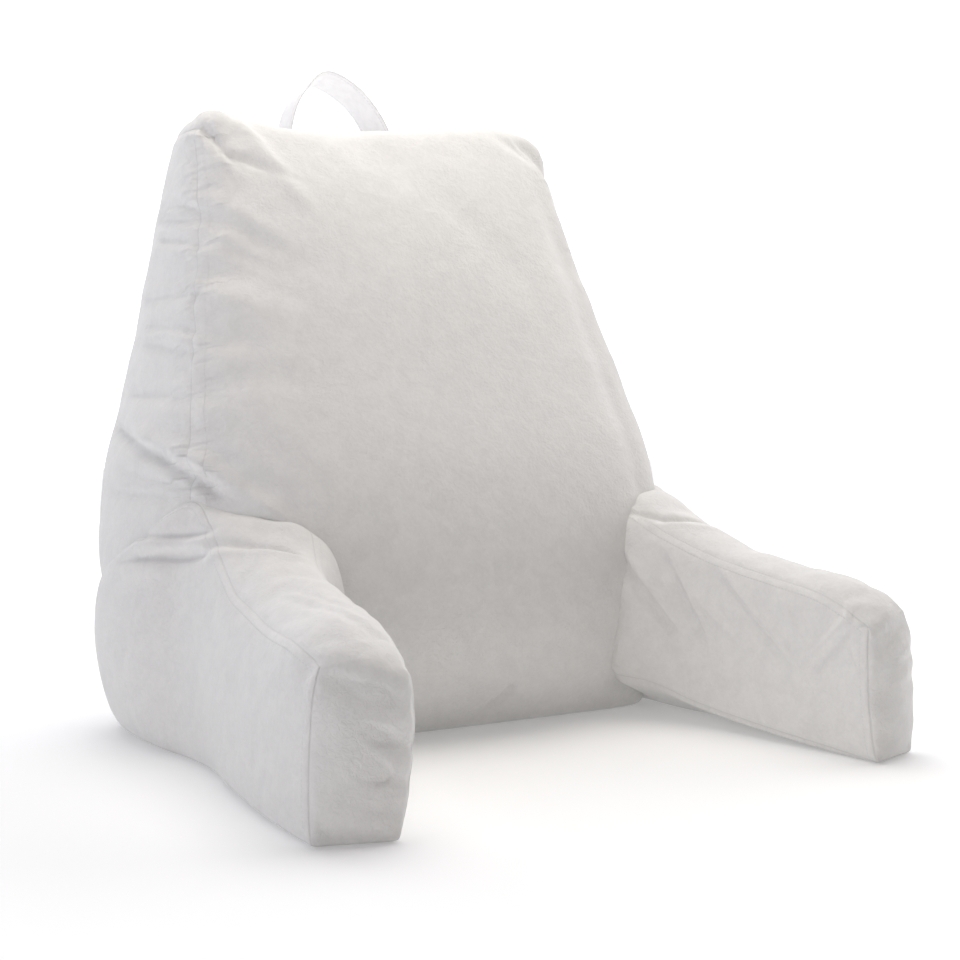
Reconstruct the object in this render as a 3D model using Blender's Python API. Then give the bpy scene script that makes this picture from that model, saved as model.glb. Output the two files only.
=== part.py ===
"""Reading pillow with arms: a stuffed wedge-shaped back rest, two stuffed arms and a strap handle.

Metres, +Z up. The origin is on the floor under the middle of the back cushion's base. The front of the
pillow, where the arms end, faces -Y, and the left arm lies at -X.
"""
import bmesh
import bpy
import numpy as np

# ---- Driving dimensions ---------------------------------------------------------------------------
SEAT_GAP = 0.00036           # a piece is cut back this far from the face that it is sewn to

# Back cushion: the frame of seams that the panels are sewn along, one row for each height.
CUSHION_COLUMNS = (
    "height", "front_half_width", "back_half_width", "front_y", "back_y",
    "front_crown", "back_crown", "side_crown",
)
CUSHION_ROWS = (
    (0.003, 0.198, 0.196, -0.113, 0.092, 0.008, 0.004, 0.000),
    (0.040, 0.202, 0.200, -0.113, 0.102, 0.038, 0.014, 0.020),
    (0.080, 0.206, 0.204, -0.111, 0.108, 0.060, 0.020, 0.029),
    (0.130, 0.211, 0.209, -0.110, 0.112, 0.068, 0.023, 0.037),
    (0.200, 0.211, 0.208, -0.103, 0.116, 0.062, 0.025, 0.033),
    (0.300, 0.199, 0.191, -0.065, 0.116, 0.052, 0.025, 0.018),
    (0.390, 0.181, 0.171, -0.030, 0.114, 0.044, 0.022, 0.018),
    (0.460, 0.171, 0.155, -0.004, 0.112, 0.028, 0.015, 0.017),
    (0.500, 0.170, 0.148, 0.010, 0.108, 0.008, 0.004, 0.012),
)
TOP_CROWN = 0.009            # how far the stuffing swells the top past its seams
# The top seams run unevenly: full at both corners, lower left of the middle and higher on the right.
TOP_COLUMNS = ("across", "rise")
TOP_ROWS = (
    (-1.00, -0.006),
    (-0.96, 0.005),
    (-0.86, 0.007),
    (-0.66, 0.000),
    (-0.40, -0.001),
    (0.10, 0.006),
    (0.50, 0.015),
    (0.84, 0.018),
    (0.94, 0.013),
    (1.00, 0.002),
)
CUSHION_CELLS = (34, 10, 34)  # grid cells across, front to back, and up

# Arms: the right arm's frame of seams, one row for each station along y; the left arm mirrors it.
ARM_COLUMNS = (
    "y", "inner_top_x", "inner_foot_x", "outer_top_x", "outer_foot_x",
    "inner_top", "outer_top", "inner_lift", "inner_crown", "outer_crown", "top_crown",
)
ARM_ROWS = (
    (-0.375, 0.194, 0.203, 0.248, 0.253, 0.102, 0.113, 0.000, 0.008, 0.006, 0.008),
    (-0.340, 0.188, 0.198, 0.247, 0.252, 0.121, 0.122, 0.004, 0.008, 0.008, 0.011),
    (-0.290, 0.181, 0.190, 0.240, 0.248, 0.132, 0.126, 0.009, 0.009, 0.011, 0.012),
    (-0.240, 0.174, 0.182, 0.233, 0.241, 0.142, 0.136, 0.015, 0.010, 0.013, 0.012),
    (-0.200, 0.166, 0.174, 0.229, 0.235, 0.155, 0.149, 0.022, 0.014, 0.013, 0.012),
    (-0.170, 0.156, 0.160, 0.224, 0.229, 0.170, 0.164, 0.033, 0.020, 0.013, 0.008),
    (-0.145, 0.150, 0.145, 0.220, 0.227, 0.186, 0.178, 0.036, 0.022, 0.014, 0.008),
    (-0.120, 0.150, 0.145, 0.217, 0.227, 0.193, 0.190, 0.036, 0.020, 0.015, 0.010),
    (-0.100, 0.150, 0.145, 0.215, 0.228, 0.198, 0.202, 0.036, 0.018, 0.015, 0.008),
)
# Behind the root the outer panel runs on round the cushion's side and narrows to a point at the back.
FLANK_COLUMNS = ("y", "proud", "top", "foot_x", "lift", "crown")
FLANK_ROWS = (
    (-0.100, 0.000, 0.202, 0.228, 0.036, 0.017),
    (-0.075, 0.001, 0.184, 0.232, 0.022, 0.018),
    (-0.042, 0.001, 0.164, 0.234, 0.014, 0.018),
    (0.000, 0.001, 0.145, 0.234, 0.008, 0.018),
    (0.031, 0.001, 0.124, 0.230, 0.008, 0.017),
    (0.065, 0.001, 0.094, 0.219, 0.008, 0.013),
    (0.090, -0.004, 0.066, 0.205, 0.008, 0.007),
    (0.102, -0.010, 0.050, 0.193, 0.008, 0.000),
)
FLANK_TOE_IN = 0.018         # its back end leans forwards towards the floor by this much
FLANK_INNER_X = 0.150        # the flank's hidden edge, well inside the cushion before it is cut back
ARM_END_CROWN = 0.010        # how far the end panel swells past its seams
ARM_END_SKEW = 0.016         # the end panel turns outwards: its inner edge stands this much further out
ARM_RIM = 0.005              # the underside's rim stands this far off the floor before it settles
ARM_SETTLE = 0.004           # the arm's own weight presses this much of the underside flat
ARM_CELLS = (10, 38, 10)     # grid cells across, along, and up
# The left arm is less even: both its top seams have sunk towards the root, and the inner panel bulges.
LEFT_ARM_COLUMNS = ("y", "inner_sink", "outer_sink", "bulge")
LEFT_ARM_ROWS = (
    (-0.375, 0.000, 0.002, 0.000),
    (-0.300, 0.000, 0.005, 0.000),
    (-0.230, 0.002, 0.009, 0.000),
    (-0.204, 0.005, 0.012, 0.000),
    (-0.190, 0.006, 0.012, 0.000),
    (-0.174, 0.005, 0.012, 0.008),
    (-0.160, 0.004, 0.012, 0.018),
    (-0.130, 0.007, 0.007, 0.020),
    (-0.100, 0.007, 0.000, 0.014),
)

# Folds: each is a soft trough from one end to the other, or a ridge where its depth is negative.
FOLD_COLUMNS = ("x1", "y1", "z1", "x2", "y2", "z2", "half_width", "depth")
CUSHION_FOLDS = (
    (-0.150, 0.068, 0.509, -0.165, 0.002, 0.491, 0.005, 0.004),    # tuck round the top left corner
    (-0.165, 0.002, 0.491, -0.154, -0.013, 0.472, 0.005, 0.008),
    (-0.154, -0.013, 0.472, -0.133, -0.021, 0.464, 0.006, 0.006),
    (-0.133, -0.021, 0.464, -0.115, -0.028, 0.456, 0.008, 0.003),
    (-0.159, 0.021, 0.509, -0.131, -0.006, 0.489, 0.010, -0.004),  # the lip above that tuck
    (-0.131, -0.006, 0.489, -0.108, -0.034, 0.448, 0.010, -0.004),
    (-0.169, 0.003, 0.482, -0.154, -0.018, 0.462, 0.005, -0.003),  # and the lip below it
    (0.146, -0.002, 0.505, 0.163, 0.000, 0.488, 0.008, 0.005),     # pucker at the top right corner
    (0.128, 0.000, 0.503, 0.140, -0.004, 0.497, 0.007, 0.003),
    (-0.1745, -0.014, 0.430, -0.149, -0.046, 0.4135, 0.009, -0.002),  # drags from the left front seam
    (-0.177, -0.015, 0.419, -0.149, -0.046, 0.401, 0.009, 0.005),
    (-0.181, -0.027, 0.399, -0.137, -0.068, 0.374, 0.010, 0.002),
    (-0.184, -0.034, 0.376, -0.133, -0.077, 0.358, 0.010, 0.002),
    (-0.190, -0.041, 0.356, -0.168, -0.071, 0.347, 0.010, -0.002),
    (-0.195, -0.053, 0.326, -0.174, -0.083, 0.317, 0.010, 0.002),
    (-0.183, 0.060, 0.434, -0.184, 0.020, 0.429, 0.006, 0.004),    # gathers on the left side
    (-0.187, 0.022, 0.417, -0.184, -0.007, 0.413, 0.006, 0.004),
    (-0.191, 0.045, 0.405, -0.191, 0.010, 0.400, 0.006, 0.003),
    (-0.201, 0.055, 0.363, -0.201, 0.010, 0.359, 0.007, 0.004),
    (-0.209, 0.035, 0.333, -0.208, -0.015, 0.328, 0.007, 0.003),
    (-0.223, 0.058, 0.246, -0.230, -0.041, 0.229, 0.005, 0.007),   # long fold over the left arm
    (-0.230, -0.041, 0.229, -0.213, -0.097, 0.210, 0.005, 0.008),
    (-0.213, -0.097, 0.210, -0.208, -0.112, 0.202, 0.004, 0.004),
    (-0.227, -0.019, 0.240, -0.212, -0.090, 0.223, 0.007, -0.004),
    (-0.212, -0.090, 0.223, -0.197, -0.127, 0.206, 0.007, -0.006),
    (-0.197, -0.127, 0.206, -0.177, -0.145, 0.189, 0.006, -0.004),
    (-0.240, 0.000, 0.212, -0.226, -0.080, 0.206, 0.005, 0.003),   # and the wrinkles under it
    (-0.242, 0.010, 0.198, -0.231, -0.066, 0.196, 0.005, 0.003),
    (-0.027, -0.002, 0.494, 0.075, -0.066, 0.400, 0.022, 0.002),   # broad drags down the front
    (0.150, -0.049, 0.405, 0.171, -0.141, 0.201, 0.012, 0.002),
)
LEFT_ARM_FOLDS = (
    (-0.2425, -0.061, 0.165, -0.2215, -0.124, 0.172, 0.004, 0.004),   # folds where the arm's panels gather
    (-0.243, -0.058, 0.159, -0.225, -0.126, 0.165, 0.004, -0.002),
    (-0.250, -0.034, 0.143, -0.248, -0.061, 0.1495, 0.004, 0.004),
    (-0.248, -0.061, 0.1495, -0.225, -0.133, 0.156, 0.004, 0.005),
    (-0.250, -0.030, 0.133, -0.244, -0.083, 0.143, 0.006, -0.002),
    (-0.220, -0.1445, 0.163, -0.181, -0.188, 0.1605, 0.004, 0.003),  # across the strip
    (-0.224, -0.153, 0.157, -0.183, -0.197, 0.157, 0.005, -0.002),
    (-0.224, -0.270, 0.143, -0.209, -0.345, 0.131, 0.005, 0.0015),
    (-0.212, -0.262, 0.147, -0.198, -0.330, 0.136, 0.005, 0.0015),
    (-0.248, -0.366, 0.106, -0.234, -0.379, 0.099, 0.008, 0.003),  # puckers on the end panel
    (-0.207, -0.388, 0.087, -0.194, -0.380, 0.080, 0.005, 0.002),
    (-0.209, -0.390, 0.064, -0.195, -0.382, 0.057, 0.005, 0.002),
    (-0.210, -0.388, 0.042, -0.197, -0.381, 0.036, 0.005, 0.002),
)
RIGHT_ARM_FOLDS = (
    (0.158, -0.150, 0.188, 0.152, -0.182, 0.162, 0.004, 0.002),    # the inner seam's dip at the root
    (0.176, -0.158, 0.184, 0.198, -0.182, 0.170, 0.006, 0.004),    # crease across the root
    (0.162, -0.170, 0.170, 0.190, -0.198, 0.162, 0.006, -0.002),
    (0.145, -0.178, 0.138, 0.153, -0.192, 0.097, 0.010, 0.003),    # soft drags down the inner panel
    (0.168, -0.232, 0.140, 0.173, -0.272, 0.098, 0.010, 0.003),
    (0.179, -0.292, 0.131, 0.178, -0.305, 0.093, 0.010, 0.002),
    (0.184, -0.339, 0.120, 0.186, -0.367, 0.099, 0.009, 0.002),
    (0.240, -0.372, 0.104, 0.222, -0.386, 0.098, 0.009, 0.003),    # puckers on the end panel
    (0.246, -0.380, 0.078, 0.232, -0.388, 0.074, 0.005, 0.001),
    (0.247, -0.380, 0.060, 0.233, -0.388, 0.056, 0.005, 0.001),
)
FOLD_CLEAR_HEIGHT = 0.030    # folds fade out below this height, so that the underside stays flat
FOLD_LIFT = 0.4              # how much of a fold line's distance above or below the surface counts
FOLD_TAPER = 3.0             # a fold runs out past its ends over this many half widths

# Carry handle: one flat strap, one row for each point of its arch, seen from the front.
STRAP_WIDTH = 0.032
STRAP_THICKNESS = 0.003
STRAP_COLUMNS = ("along", "x", "y", "z", "lean", "turn")
STRAP_ROWS = (
    (0.00, -0.049, 0.108, 0.494, 0.0, 0.0),
    (0.18, -0.046, 0.110, 0.525, 0.0, 0.0),
    (0.36, -0.033, 0.111, 0.553, 6.0, 0.0),
    (0.50, -0.012, 0.111, 0.570, 18.0, 5.0),
    (0.64, 0.014, 0.111, 0.562, 18.0, 12.0),
    (0.82, 0.041, 0.110, 0.536, 7.0, 20.0),
    (1.00, 0.060, 0.108, 0.494, 0.0, 28.0),
)
STRAP_CELLS = (2, 28, 1)
STRAP_STEP = 0.002           # the share of its length over which the strap's direction is taken

PLUSH = {"name": "plush_velour", "colour": (0.86, 0.855, 0.85, 1.0), "roughness": 0.92}
WEBBING = {"name": "strap_cloth", "colour": (0.88, 0.875, 0.88, 1.0), "roughness": 0.85}


# ---- Tables and grids -----------------------------------------------------------------------------
def smooth_table(rows, columns, name, at):
    """One column of a table read at any place along its first column.

    A cubic runs through each pair of neighbouring rows, with the slope at a row taken from the rows on
    both sides of it, so the curve has no corner at a row. Past the ends the end rows' values hold.
    """
    table = np.array(rows)
    place = table[:, 0]
    value = table[:, columns.index(name)]
    slope = np.gradient(value, place)
    at = np.clip(at, place[0], place[-1])
    low = np.clip(np.searchsorted(place, at, side="right") - 1, 0, len(place) - 2)
    span = place[low + 1] - place[low]
    u = (at - place[low]) / span
    return (
        (2 * u**3 - 3 * u**2 + 1) * value[low]
        + (u**3 - 2 * u**2 + u) * span * slope[low]
        + (3 * u**2 - 2 * u**3) * value[low + 1]
        + (u**3 - u**2) * span * slope[low + 1]
    )


def swell(a, power):
    """The rise of a stuffed panel across its width: 1 in the middle, 0 at the seams at a = -1 and 1."""
    return np.clip(1.0 - a**2, 0.0, None) ** power


def grid_block(name, cells):
    """A closed block from -1 to 1 on each axis, cut into a grid of cells."""
    mesh = bpy.data.meshes.new(name)
    shape = bmesh.new()
    bmesh.ops.create_cube(shape, size=2.0)
    for axis, count in enumerate(cells):
        along = [e for e in shape.edges if abs((e.verts[0].co - e.verts[1].co)[axis]) > 1e-6]
        bmesh.ops.subdivide_edges(shape, edges=along, cuts=count - 1, use_grid_fill=True)
    shape.to_mesh(mesh)
    shape.free()
    return mesh


def read_points(mesh):
    """A mesh's points as three arrays."""
    flat = np.empty(len(mesh.vertices) * 3)
    mesh.vertices.foreach_get("co", flat)
    return flat.reshape(-1, 3).T


def write_points(mesh, x, y, z):
    """Sets a mesh's points from three arrays."""
    mesh.vertices.foreach_set("co", np.column_stack((x, y, z)).ravel())
    mesh.update()


def split_into_triangles(mesh):
    """Splits a mesh's faces into triangles, so that a copy of it bends along the same lines."""
    shape = bmesh.new()
    shape.from_mesh(mesh)
    bmesh.ops.triangulate(shape, faces=shape.faces, quad_method="BEAUTY")
    shape.to_mesh(mesh)
    shape.free()


def crowd_to_seams(a):
    """Moves evenly spaced grid lines towards the seams at -1 and 1, where the form turns fastest."""
    reach = 0.82 * np.pi / 2
    return np.sin(a * reach) / np.sin(reach)


def press_folds(mesh, folds):
    """Presses a table of folds into a mesh.

    Each point moves in along its normal by the fold's depth times exp(-(distance / half width)^2). The
    distance is that from the straight line between the fold's two ends. Off the surface it counts only
    in part, so that the line may lie a little above or below it, and past an end it counts less, so
    that the fold runs out softly. Where folds meet, the deepest trough and the highest ridge count.
    """
    points = read_points(mesh).T
    flat = np.empty(len(mesh.vertices) * 3)
    mesh.vertices.foreach_get("normal", flat)
    normals = flat.reshape(-1, 3)
    trough = np.zeros(len(points))
    ridge = np.zeros(len(points))
    for fold in folds:
        start = np.array(fold[0:3])
        run = np.array(fold[3:6]) - start
        share = np.clip((points - start) @ run / (run @ run), 0, 1)
        length = np.linalg.norm(run)
        away = points - start - share[:, None] * run
        past_end = away @ run / length
        off_surface = np.sum(away * normals, axis=1)
        across = np.sum(away**2, axis=1) - past_end**2 - (1 - FOLD_LIFT**2) * off_surface**2
        half_width = fold[FOLD_COLUMNS.index("half_width")]
        far = np.clip(across, 0, None) / half_width**2 + (past_end / (FOLD_TAPER * half_width)) ** 2
        pressed = fold[FOLD_COLUMNS.index("depth")] * np.exp(-far)
        trough = np.maximum(trough, pressed)
        ridge = np.minimum(ridge, pressed)
    depth = (trough + ridge) * np.clip(points[:, 2] / FOLD_CLEAR_HEIGHT, 0, 1)
    write_points(mesh, *(points - depth[:, None] * normals).T)


# ---- Objects --------------------------------------------------------------------------------------
def material(look):
    """A Principled material from a look's colour and roughness."""
    made = bpy.data.materials.get(look["name"])
    if made is None:
        made = bpy.data.materials.new(look["name"])
        made.use_nodes = True
        shader = made.node_tree.nodes["Principled BSDF"]
        shader.inputs["Base Color"].default_value = look["colour"]
        shader.inputs["Roughness"].default_value = look["roughness"]
        shader.inputs["Metallic"].default_value = 0.0
    return made


def add_object(name, mesh, look, collection):
    """A named object in its collection, smooth shaded, with its material."""
    made = bpy.data.objects.new(name, mesh)
    collection.objects.link(made)
    made.data.materials.append(material(look))
    made.data.shade_smooth()
    return made


def grown_copy(source, name, collection):
    """A cutter: a copy of a piece that stands off it all round by the seat gap."""
    mesh = source.data.copy()
    mesh.name = name
    normals = np.empty(len(mesh.vertices) * 3)
    mesh.vertices.foreach_get("normal", normals)
    points = read_points(mesh) + SEAT_GAP * normals.reshape(-1, 3).T
    write_points(mesh, *points)
    cutter = bpy.data.objects.new(name, mesh)
    collection.objects.link(cutter)
    cutter.hide_render = True
    cutter.display_type = "WIRE"
    return cutter


def cut_with(piece, cutter):
    """Cuts a piece back to its neighbour's face, so that the two lie against each other."""
    cut = piece.modifiers.new("cut_to_" + cutter.name, "BOOLEAN")
    cut.operation = "DIFFERENCE"
    cut.solver = "EXACT"
    cut.object = cutter


# ---- Back cushion ---------------------------------------------------------------------------------
def cushion_points(across, depth, up):
    """The back cushion's surface, from its place on the block.

    A point between the seams lies on the straight line from the front seam to the back seam and from
    the left seam to the right one. The panel that it is on then swells out by its crown, and the crown
    fades to nothing at the panel's seams. The base is flat on the floor but for a rounded rim.
    """
    across, depth, up = (crowd_to_seams(a) for a in (across, depth, up))
    lowest = CUSHION_ROWS[0][0]
    highest = CUSHION_ROWS[-1][0]
    z = lowest + (highest - lowest) * (up + 1) / 2
    rise = smooth_table(TOP_ROWS, TOP_COLUMNS, "rise", across)

    def row(name):
        return smooth_table(CUSHION_ROWS, CUSHION_COLUMNS, name, z)

    back_share = (depth + 1) / 2
    half_width = row("front_half_width") * (1 - back_share) + row("back_half_width") * back_share
    x = across * half_width
    y = row("front_y") * (1 - back_share) + row("back_y") * back_share

    in_width = swell(across, 0.6)
    in_depth = swell(depth, 0.6)
    front = np.clip(-depth, 0, 1) ** 6
    back = np.clip(depth, 0, 1) ** 6
    side = np.abs(across) ** 6
    top = np.clip(up, 0, 1) ** 6
    bottom = np.clip(-up, 0, 1) ** 6
    y = y - row("front_crown") * front * swell(across, 0.45)
    y = y + row("back_crown") * back * in_width
    x = x + np.sign(across) * row("side_crown") * side * in_depth
    z = z + rise * np.clip(up, 0, 1) ** 4 + TOP_CROWN * top * swell(across, 0.3) * in_depth
    z = z - lowest * bottom * np.clip(6 * np.minimum(in_width, in_depth) - 0.6, 0, 1)
    return x, y, z


def build_cushion(collection):
    """The stuffed wedge that the reader leans on."""
    mesh = grid_block("back_cushion", CUSHION_CELLS)
    write_points(mesh, *cushion_points(*read_points(mesh)))
    press_folds(mesh, CUSHION_FOLDS)
    split_into_triangles(mesh)
    return add_object("back_cushion", mesh, PLUSH, collection)


# ---- Arms -----------------------------------------------------------------------------------------
def cushion_side_x(y, z):
    """How far out the cushion's side lies at a place on it."""
    front_y = smooth_table(CUSHION_ROWS, CUSHION_COLUMNS, "front_y", z)
    back_y = smooth_table(CUSHION_ROWS, CUSHION_COLUMNS, "back_y", z)
    back_share = np.clip((y - front_y) / (back_y - front_y), 0, 1)
    front_half = smooth_table(CUSHION_ROWS, CUSHION_COLUMNS, "front_half_width", z)
    back_half = smooth_table(CUSHION_ROWS, CUSHION_COLUMNS, "back_half_width", z)
    crown = smooth_table(CUSHION_ROWS, CUSHION_COLUMNS, "side_crown", z) * swell(2 * back_share - 1, 0.6)
    return front_half * (1 - back_share) + back_half * back_share + crown


def arm_section(name, station):
    """One of the arm's columns at a station: from the arm's table in front of the root, and behind it
    from the flank's, whose top edge follows the cushion's side."""
    root = ARM_ROWS[-1][0]
    front = smooth_table(ARM_ROWS, ARM_COLUMNS, name, station)
    if name in ("inner_crown", "top_crown"):
        behind = front
    elif name in ("inner_top_x", "inner_foot_x"):
        behind = np.full_like(station, FLANK_INNER_X)
    elif name == "outer_top_x":
        top = smooth_table(FLANK_ROWS, FLANK_COLUMNS, "top", station)
        proud = smooth_table(FLANK_ROWS, FLANK_COLUMNS, "proud", station)
        behind = cushion_side_x(station, top) + proud
    else:
        flank_name = {
            "outer_foot_x": "foot_x",
            "inner_top": "top",
            "outer_top": "top",
            "inner_lift": "lift",
            "outer_crown": "crown",
        }[name]
        behind = smooth_table(FLANK_ROWS, FLANK_COLUMNS, flank_name, station)
    return np.where(station < root, front, behind)


def arm_points(across, along, up, side):
    """One arm's surface, from its place on the block: across from the inner to the outer face, along
    from the free end to where it thins out over the cushion's side, and up from the floor.

    Each station along y is a four-cornered section of seams. Its panels swell out by their crowns, and
    the underside is flat on the floor but for its rounded rim.
    """
    across, up = (crowd_to_seams(a) for a in (across, up))
    first = ARM_ROWS[0][0]
    last = FLANK_ROWS[-1][0]
    station = first + (last - first) * ((along + 1) / 2) ** 1.1
    outer_share = (across + 1) / 2
    top_share = (up + 1) / 2
    inner_x = arm_section("inner_foot_x", station) * (1 - top_share)
    inner_x = inner_x + arm_section("inner_top_x", station) * top_share
    outer_x = arm_section("outer_foot_x", station) * (1 - top_share)
    outer_x = outer_x + arm_section("outer_top_x", station) * top_share
    x = inner_x * (1 - outer_share) + outer_x * outer_share
    y = station - ARM_END_SKEW * (1 - outer_share) * np.clip(-along, 0, 1)
    y = y - FLANK_TOE_IN * (1 - top_share) * np.clip(along, 0, 1) ** 4

    in_width = swell(across, 0.6)
    in_height = swell(up, 0.5)
    rim = ARM_RIM * (1 - np.clip(2.5 * np.minimum(in_width, swell(along, 0.6)), 0, 1))
    bottom = np.clip(arm_section("inner_lift", station) * (1 - outer_share) + rim - ARM_SETTLE, 0, None)
    inner_top = arm_section("inner_top", station)
    outer_top = arm_section("outer_top", station)
    inner_crown = arm_section("inner_crown", station)
    if side < 0:
        inner_top = inner_top - smooth_table(LEFT_ARM_ROWS, LEFT_ARM_COLUMNS, "inner_sink", station)
        outer_top = outer_top - smooth_table(LEFT_ARM_ROWS, LEFT_ARM_COLUMNS, "outer_sink", station)
        inner_crown = inner_crown + smooth_table(LEFT_ARM_ROWS, LEFT_ARM_COLUMNS, "bulge", station)
    top = inner_top * (1 - outer_share) + outer_top * outer_share
    z = bottom * (1 - top_share) + top * top_share
    x = x + arm_section("outer_crown", station) * np.clip(across, 0, 1) ** 4 * in_height
    x = x - inner_crown * np.clip(-across, 0, 1) ** 4 * in_height
    z = z + arm_section("top_crown", station) * np.clip(up, 0, 1) ** 4 * in_width
    y = y - ARM_END_CROWN * np.clip(-along, 0, 1) ** 12 * in_width * in_height
    return side * x, y, z


def build_arm(name, side, folds, cutter, collection):
    """One stuffed arm, cut back to the cushion that it is sewn to."""
    mesh = grid_block(name, ARM_CELLS)
    write_points(mesh, *arm_points(*read_points(mesh), side))
    if side < 0:
        mesh.flip_normals()
    press_folds(mesh, folds)
    arm = add_object(name, mesh, PLUSH, collection)
    cut_with(arm, cutter)
    return arm


# ---- Carry handle ---------------------------------------------------------------------------------
def strap_points(across, along, through):
    """The handle's strap: an arch through its rows, with its width lying front to back, leaned and
    turned by the angles of each row."""
    place = (along + 1) / 2

    def row(name, at=place):
        return smooth_table(STRAP_ROWS, STRAP_COLUMNS, name, at)

    ahead = np.clip(place + STRAP_STEP, 0, 1)
    behind = np.clip(place - STRAP_STEP, 0, 1)
    run_x = row("x", ahead) - row("x", behind)
    run_z = row("z", ahead) - row("z", behind)
    run = np.column_stack((run_x, np.zeros_like(run_x), run_z))
    run /= np.linalg.norm(run, axis=1)[:, None]
    lean = np.radians(row("lean"))
    turn = np.radians(row("turn"))
    width = np.column_stack((-np.sin(turn) * np.cos(lean), np.cos(turn) * np.cos(lean), -np.sin(lean)))
    width -= run * np.sum(width * run, axis=1)[:, None]
    width /= np.linalg.norm(width, axis=1)[:, None]
    face = np.cross(width, run)
    middle = np.column_stack((row("x"), row("y"), row("z")))
    points = (
        middle
        + width * (across * STRAP_WIDTH / 2)[:, None]
        + face * (through * STRAP_THICKNESS / 2)[:, None]
    )
    return points.T


def build_handle(cutter, collection):
    """The strap, cut off where it meets the cushion's rear top seam."""
    mesh = grid_block("carry_handle", STRAP_CELLS)
    write_points(mesh, *strap_points(*read_points(mesh)))
    handle = add_object("carry_handle", mesh, WEBBING, collection)
    cut_with(handle, cutter)
    return handle


# ---- The whole pillow -----------------------------------------------------------------------------
def build():
    """Builds every piece in its collection."""
    for old in list(bpy.data.objects):
        bpy.data.objects.remove(old, do_unlink=True)
    pillow = bpy.data.collections.new("reading_pillow")
    cutters = bpy.data.collections.new("cutters")
    bpy.context.scene.collection.children.link(pillow)
    bpy.context.scene.collection.children.link(cutters)
    cushion = build_cushion(pillow)
    cutter = grown_copy(cushion, "cushion_cutter", cutters)
    build_arm("arm_left", -1, LEFT_ARM_FOLDS, cutter, pillow)
    build_arm("arm_right", 1, RIGHT_ARM_FOLDS, cutter, pillow)
    build_handle(cutter, pillow)


build()
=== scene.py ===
import bpy
import numpy as np
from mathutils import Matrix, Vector


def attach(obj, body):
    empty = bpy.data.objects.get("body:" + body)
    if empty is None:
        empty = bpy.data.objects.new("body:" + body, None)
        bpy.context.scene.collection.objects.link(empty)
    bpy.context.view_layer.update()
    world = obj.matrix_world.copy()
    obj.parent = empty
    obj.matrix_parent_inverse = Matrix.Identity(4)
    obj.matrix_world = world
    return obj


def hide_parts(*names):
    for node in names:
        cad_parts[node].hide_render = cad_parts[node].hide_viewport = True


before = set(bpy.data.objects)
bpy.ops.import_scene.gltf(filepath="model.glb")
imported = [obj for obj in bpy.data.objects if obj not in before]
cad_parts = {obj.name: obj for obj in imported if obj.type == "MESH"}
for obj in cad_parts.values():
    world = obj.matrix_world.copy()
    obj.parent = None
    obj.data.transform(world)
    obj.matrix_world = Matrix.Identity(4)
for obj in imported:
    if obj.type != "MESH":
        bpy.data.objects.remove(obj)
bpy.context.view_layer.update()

# ---- Back cushion cover ---------------------------------------------------------------------------
# The tall wedge that the reader leans on: a cover of white short-pile plush, cut as a front that runs
# over the top, two sides and a rear, sewn inside out, turned and stuffed until every panel crowns.
CUSHION_COLUMNS = (
    "height", "front_half_width", "back_half_width", "front_y", "back_y",
    "front_crown", "back_crown", "side_crown",
)
CUSHION_ROWS = (
    (0.003, 0.198, 0.196, -0.113, 0.092, 0.008, 0.004, 0.000),
    (0.040, 0.202, 0.200, -0.113, 0.102, 0.038, 0.014, 0.020),
    (0.080, 0.206, 0.204, -0.111, 0.108, 0.060, 0.020, 0.029),
    (0.130, 0.211, 0.209, -0.110, 0.112, 0.068, 0.023, 0.037),
    (0.200, 0.211, 0.208, -0.103, 0.116, 0.062, 0.025, 0.033),
    (0.300, 0.199, 0.191, -0.065, 0.116, 0.052, 0.025, 0.018),
    (0.390, 0.181, 0.171, -0.030, 0.114, 0.044, 0.022, 0.018),
    (0.460, 0.171, 0.155, -0.004, 0.112, 0.028, 0.015, 0.017),
    (0.500, 0.170, 0.148, 0.010, 0.108, 0.008, 0.004, 0.012),
)
TOP_CROWN = 0.009            # how far the top swells past its seams
FRONT_CROWN_POWER = 0.45     # how square the front is across its width: lower rises faster
TOP_CROWN_POWER = 0.3        # and the top
CUSHION_FACE_POWER = 6       # the higher, the less a panel's swell reaches round onto its neighbours
TOP_COLUMNS = ("across", "rise")
TOP_ROWS = (
    (-1.00, -0.006),
    (-0.96, 0.005),
    (-0.86, 0.007),
    (-0.66, 0.000),
    (-0.40, -0.001),
    (0.10, 0.006),
    (0.50, 0.015),
    (0.84, 0.018),
    (0.94, 0.013),
    (1.00, 0.002),
)
CUSHION_CELLS = (70, 39, 84)  # grid cells across, front to back, and up
FRONT_SEAM_SET_BACK = 3      # the front is cut to wrap round each side by this many grid cells
CUSHION_EXTRA = 0.05         # its cover is cut this much too big
CUSHION_SEED = 3
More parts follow.
